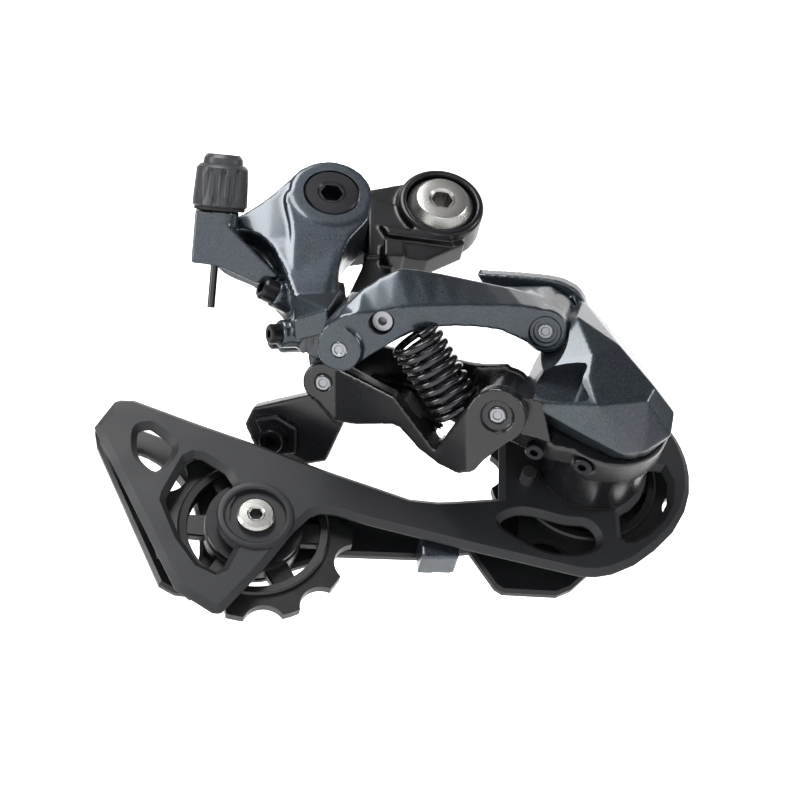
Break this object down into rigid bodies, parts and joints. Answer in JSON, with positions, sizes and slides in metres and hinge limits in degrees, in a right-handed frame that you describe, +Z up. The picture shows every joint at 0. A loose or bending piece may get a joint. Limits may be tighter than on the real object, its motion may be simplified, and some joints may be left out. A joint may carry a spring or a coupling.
{
  "type": "rear bicycle derailleur",
  "caption": "Long-cage rear bicycle derailleur with a direct-mount bracket, slanted parallelogram, link return spring, sprung cage, toothed pulleys and cable adjuster.",
  "frame": {"origin": "on the hanger bolt's axis, in the bracket's face that seats on the frame's hanger", "axes": "+X to the front of the bicycle, +Y inboard to the wheel along the hanger bolt, +Z up; the outboard side faces -Y"},
  "size_m": [0.1488, 0.0564, 0.1306],
  "materials": {
    "black_anodised_bracket": "satin black anodised forging",
    "metallic_grey_paint": "metallic dark blue-grey paint",
    "black_paint": "satin black paint",
    "stainless_bolt": "turned stainless steel",
    "black_steel": "black-oxide steel",
    "rivet_steel": "plain steel pin",
    "spring_steel": "black oil-tempered wire",
    "cage_composite": "fine-grained black composite",
    "cage_plate_black": "satin black aluminium",
    "pulley_resin": "semi-matt black resin",
    "knob_plastic": "dark grey moulded plastic",
    "liner_plastic": "black liner tube",
    "bush_bronze": "plain bronze bush",
    "seal_rubber": "black rubber",
    "axle_steel": "ground steel"
  },
  "bodies": {
    "bracket": {"bracket": "black_anodised_bracket", "hanger_bolt": "stainless_bolt", "hanger_clip": "spring_steel", "b_axle_bolt": "black_steel", "b_seal": "seal_rubber"},
    "b_knuckle": {"b_knuckle": "metallic_grey_paint", "b_bushings": "bush_bronze", "b_spring": "spring_steel", "outer_link_pin_upper": "rivet_steel", "inner_link_pin_upper": "rivet_steel", "cable_liner": "liner_plastic"},
    "b_tension_screw": {"b_tension_screw": "black_steel"},
    "limit_screw_high": {"limit_screw_high": "black_steel"},
    "limit_screw_low": {"limit_screw_low": "black_steel"},
    "adjuster": {"adjuster_knob": "knob_plastic", "adjuster_spindle": "stainless_bolt", "adjuster_ring": "seal_rubber"},
    "outer_link": {"outer_link": "metallic_grey_paint", "spring_post": "rivet_steel", "return_spring": "spring_steel"},
    "inner_link": {"inner_link": "black_paint", "cable_clamp_plate": "black_steel", "cable_clamp_washer": "black_steel", "cable_clamp_bolt": "black_steel"},
    "p_knuckle": {"p_knuckle": "black_paint", "p_knuckle_cover": "metallic_grey_paint", "outer_link_pin_lower": "rivet_steel", "inner_link_pin_lower": "rivet_steel", "p_bushing": "bush_bronze", "p_spring": "spring_steel", "p_seal": "seal_rubber", "p_knuckle_screws": "black_steel"},
    "cage": {"outer_cage_plate": "cage_composite", "inner_cage_plate": "cage_plate_black", "chain_guard": "metallic_grey_paint", "cage_stop_pin": "rivet_steel", "p_axle": "axle_steel", "guide_bush": "bush_bronze", "guide_caps": "cage_plate_black", "guide_bolt": "stainless_bolt", "tension_bush": "bush_bronze", "tension_caps": "cage_plate_black", "tension_bolt": "stainless_bolt"},
    "guide_pulley": {"guide_pulley": "pulley_resin"},
    "tension_pulley": {"tension_pulley": "pulley_resin"}
  },
  "joints": [
    {"name": "b_pivot", "type": "hinge", "parent": "bracket", "child": "b_knuckle", "pos_m": [-0.03, -0.012, -0.009], "axis": [0, 1, 0], "range_deg": [0, 25], "stiffness_Nm_per_rad": 0.5, "springref_deg": -28.65},
    {"name": "b_tension_turn", "type": "hinge", "parent": "b_knuckle", "child": "b_tension_screw", "pos_m": [-0.0434, -0.0148, -0.039], "axis": [-0.8871, -0.4588, 0.051], "continuous": true},
    {"name": "high_limit_turn", "type": "hinge", "parent": "b_knuckle", "child": "limit_screw_high", "pos_m": [-0.0415, -0.0122, -0.0495], "axis": [-0.9339, -0.2209, -0.2812], "continuous": true},
    {"name": "low_limit_turn", "type": "hinge", "parent": "b_knuckle", "child": "limit_screw_low", "pos_m": [-0.0406, -0.0056, -0.0462], "axis": [-0.9339, -0.2209, -0.2812], "continuous": true},
    {"name": "adjuster_turn", "type": "hinge", "parent": "b_knuckle", "child": "adjuster", "pos_m": [-0.0582, -0.022, -0.02], "axis": [0, -0.66, 0.7513], "continuous": true},
    {"name": "link_swing", "type": "hinge", "parent": "b_knuckle", "child": "outer_link", "pos_m": [-0.0282, -0.027, -0.0636], "axis": [0.277, 0.547, 0.7899], "range_deg": [0, 50], "stiffness_Nm_per_rad": 1, "springref_deg": -28.65, "deforming": ["return_spring"]},
    {"name": "inner_link_swing", "type": "hinge", "parent": "b_knuckle", "child": "inner_link", "pos_m": [-0.02945, -0.00361, -0.05708], "axis": [0.277, 0.547, 0.7899], "range_deg": [0, 50]},
    {"name": "lower_knuckle_swing", "type": "hinge", "parent": "outer_link", "child": "p_knuckle", "pos_m": [0.02162, -0.0285, -0.05396], "axis": [0.277, 0.547, 0.7899], "range_deg": [-50, 0]},
    {"name": "cage_pivot", "type": "hinge", "parent": "p_knuckle", "child": "cage", "pos_m": [0.0384, 0, -0.071], "axis": [0, -1, 0], "range_deg": [0, 120], "stiffness_Nm_per_rad": 0.15, "springref_deg": -85.94},
    {"name": "guide_pulley_spin", "type": "hinge", "parent": "cage", "child": "guide_pulley", "pos_m": [0.0384, 0.01, -0.071], "axis": [0, 1, 0], "continuous": true},
    {"name": "tension_pulley_spin", "type": "hinge", "parent": "cage", "child": "tension_pulley", "pos_m": [-0.0441, 0.01, -0.093], "axis": [0, 1, 0], "continuous": true}
  ],
  "couplings": [
    {"joint": "inner_link_swing", "follows": "link_swing", "ratio": 1},
    {"joint": "lower_knuckle_swing", "follows": "link_swing", "ratio": -1}
  ]
}
